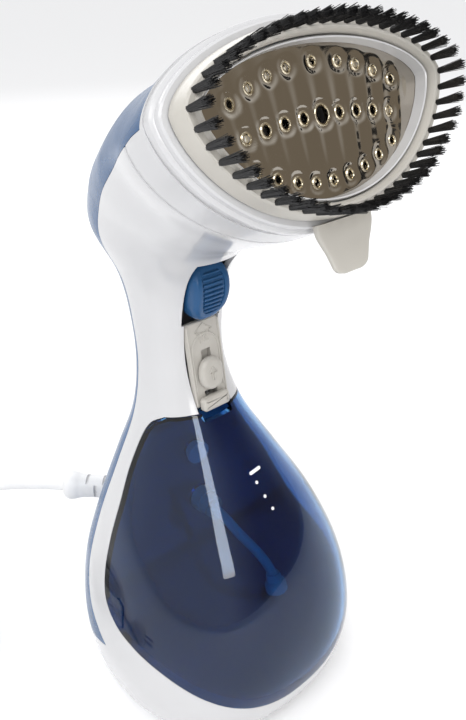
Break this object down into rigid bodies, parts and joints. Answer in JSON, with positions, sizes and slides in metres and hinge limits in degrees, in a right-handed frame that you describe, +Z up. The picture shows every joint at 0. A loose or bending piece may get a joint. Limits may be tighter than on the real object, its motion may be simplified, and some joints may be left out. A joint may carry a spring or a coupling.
{
  "type": "handheld garment steamer",
  "caption": "Upright handheld garment steamer: leaf-shaped steam head with a bristle brush ring, slim grip with trigger, and a detachable water tank as its base.",
  "frame": {"origin": "middle of the base pad's resting face, on the surface that the steamer stands on", "axes": "+Z up, -Y to the front where the steam head points, +X to the right as seen from the front"},
  "size_m": [0.244, 0.2129, 0.2987],
  "materials": {
    "white_plastic": "glossy injection-moulded ABS",
    "blue_plastic": "glossy injection-moulded ABS",
    "tank_plastic": "tinted transparent, polished",
    "control_white": "fine satin",
    "frame_white": "satin",
    "bristle_black": "nylon filament tufts",
    "steel_plate": "pressed and polished stainless steel",
    "steel": "plain",
    "aluminium": "die cast",
    "dark_plastic": "moulded",
    "silicone": "translucent silicone",
    "teal_tube": "soft tube",
    "pad_rubber": "non-slip",
    "board_green": "solder mask",
    "wire_red": "insulation",
    "cord_white": "white PVC",
    "brass_pin": "nickel-plated"
  },
  "bodies": {
    "root": {"housing_left": "white_plastic", "housing_right": "white_plastic", "rear_cover": "blue_plastic", "base_pad": "pad_rubber", "head_bezel": "white_plastic", "plate_gasket": "silicone", "steam_plate": "steel_plate", "heater_block": "aluminium", "heating_element": "steel", "heater_bracket": "dark_plastic", "thermostat": "control_white", "thermal_fuse": "steel", "bracket_screws": "steel", "trigger_pin": "steel", "trigger_spring": "steel", "micro_switch": "dark_plastic", "control_strip": "control_white", "latch_spring": "steel", "pump": "dark_plastic", "inlet_spigot": "control_white", "spigot_seal": "silicone", "water_hose": "silicone", "inlet_hose": "silicone", "control_board": "board_green", "board_parts": "dark_plastic", "heater_wires": "wire_red", "mains_wires": "wire_red", "cord_clamp": "dark_plastic", "clamp_screws": "steel", "housing_screws": "steel", "cord_guard": "cord_white", "cord_tube": "cord_white", "cord_coil": "cord_white", "cord_tail": "cord_white", "coil_tie": "dark_plastic", "plug_body": "cord_white", "plug_pins": "brass_pin"},
    "trigger": {"trigger": "blue_plastic"},
    "lock_knob": {"lock_knob": "control_white"},
    "tank_latch": {"tank_latch": "control_white"},
    "tank": {"water_tank": "tank_plastic", "tank_valve": "control_white", "suction_tube": "teal_tube", "suction_filter": "steel", "filler_plug": "silicone"},
    "brush": {"brush_frame": "frame_white", "bristles": "bristle_black"}
  },
  "joints": [
    {"name": "trigger_press", "type": "hinge", "parent": "root", "child": "trigger", "pos_m": [0, 0.008, 0.2045], "axis": [1, 0, 0], "range_deg": [0, 7], "stiffness_Nm_per_rad": 0.35, "springref_deg": -8.59, "deforming": ["trigger_spring"]},
    {"name": "steam_lock_slide", "type": "slide", "parent": "root", "child": "lock_knob", "axis": [0, 0.1908, 0.9816], "range_m": [0, 0.007]},
    {"name": "tank_latch_slide", "type": "slide", "parent": "root", "child": "tank_latch", "axis": [0, 0.1908, 0.9816], "range_m": [0, 0.002], "stiffness_N_per_m": 300, "springref_m": -0.002, "deforming": ["latch_spring"]},
    {"name": "tank_release", "type": "slide", "parent": "root", "child": "tank", "axis": [0, -1, 0], "range_m": [0, 0.1]},
    {"name": "brush_release", "type": "slide", "parent": "root", "child": "brush", "axis": [0, -0.9336, 0.3584], "range_m": [0, 0.03]}
  ]
}
